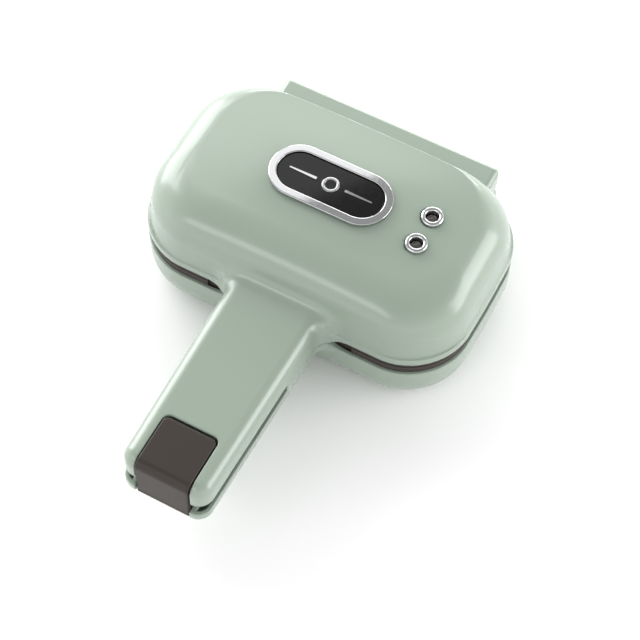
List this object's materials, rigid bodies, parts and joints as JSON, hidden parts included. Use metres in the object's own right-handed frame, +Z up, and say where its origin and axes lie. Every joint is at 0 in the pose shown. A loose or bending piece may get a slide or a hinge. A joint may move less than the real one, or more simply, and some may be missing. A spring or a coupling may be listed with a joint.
{
  "type": "donut maker",
  "caption": "Table-top clamshell donut maker with ring-mould hot plates, a rear hinge, a front handle with a rocker latch, and signal lamps.",
  "frame": {"origin": "on the table, under the middle of the closed object's bounding box", "axes": "+Z up, +Y towards the hinge, -Y towards the handle, +X to the right of a person who holds the handle"},
  "size_m": [0.185, 0.246, 0.0803],
  "materials": {
    "sage_plastic": "satin-gloss moulded plastic, pale sage green",
    "brown_plastic": "satin heat-resistant plastic, dark brown",
    "nonstick": "cast aluminium with a dark non-stick coat",
    "steel": "plain bright steel",
    "chrome": "polished chrome plating",
    "badge_black": "gloss black enamel",
    "smoke_lens": "smoked clear plastic",
    "lamp_glass": "tinted lamp envelope",
    "heater_sheath": "heat-darkened steel sheath",
    "bakelite": "matt phenolic",
    "ceramic": "unglazed ceramic",
    "silicone_lead": "silicone-sleeved wire",
    "rubber": "matt black rubber"
  },
  "bodies": {
    "base": {"lower_cover": "sage_plastic", "lower_frame": "brown_plastic", "lower_plate": "nonstick", "lower_heater": "heater_sheath", "lower_reflector": "steel", "base_screw_1": "steel", "base_screw_2": "steel", "base_screw_3": "steel", "base_screw_4": "steel", "lower_plate_screw_1": "steel", "lower_plate_screw_2": "steel", "hinge_pin_left": "steel", "hinge_pin_right": "steel", "foot_front_left": "rubber", "foot_front_right": "rubber", "foot_rear_left": "rubber", "foot_rear_right": "rubber", "terminal_block": "ceramic", "cord_bush": "rubber", "lower_leads": "silicone_lead"},
    "lid": {"upper_cover": "sage_plastic", "upper_frame": "brown_plastic", "upper_plate": "nonstick", "upper_heater": "heater_sheath", "upper_reflector": "steel", "lid_screw_1": "steel", "lid_screw_2": "steel", "lid_screw_3": "steel", "lid_screw_4": "steel", "upper_plate_screw_1": "steel", "upper_plate_screw_2": "steel", "latch_pin": "steel", "latch_spring": "steel", "upper_leads": "silicone_lead", "thermostat": "bakelite", "thermal_fuse": "ceramic", "ready_bezel": "chrome", "ready_lens": "smoke_lens", "ready_lamp": "lamp_glass", "power_bezel": "chrome", "power_lens": "smoke_lens", "power_lamp": "lamp_glass", "badge_rim": "chrome", "badge_plate": "badge_black"},
    "latch": {"latch": "brown_plastic"}
  },
  "joints": [
    {"name": "lid_hinge", "type": "hinge", "parent": "base", "child": "lid", "pos_m": [0, 0.1155, 0.0355], "axis": [-1, 0, 0], "range_deg": [0, 95]},
    {"name": "latch_pivot", "type": "hinge", "parent": "lid", "child": "latch", "pos_m": [0, -0.112, 0.047], "axis": [-1, 0, 0], "range_deg": [0, 11], "stiffness_Nm_per_rad": 0.4, "springref_deg": -17.19, "deforming": ["latch_spring"]}
  ]
}
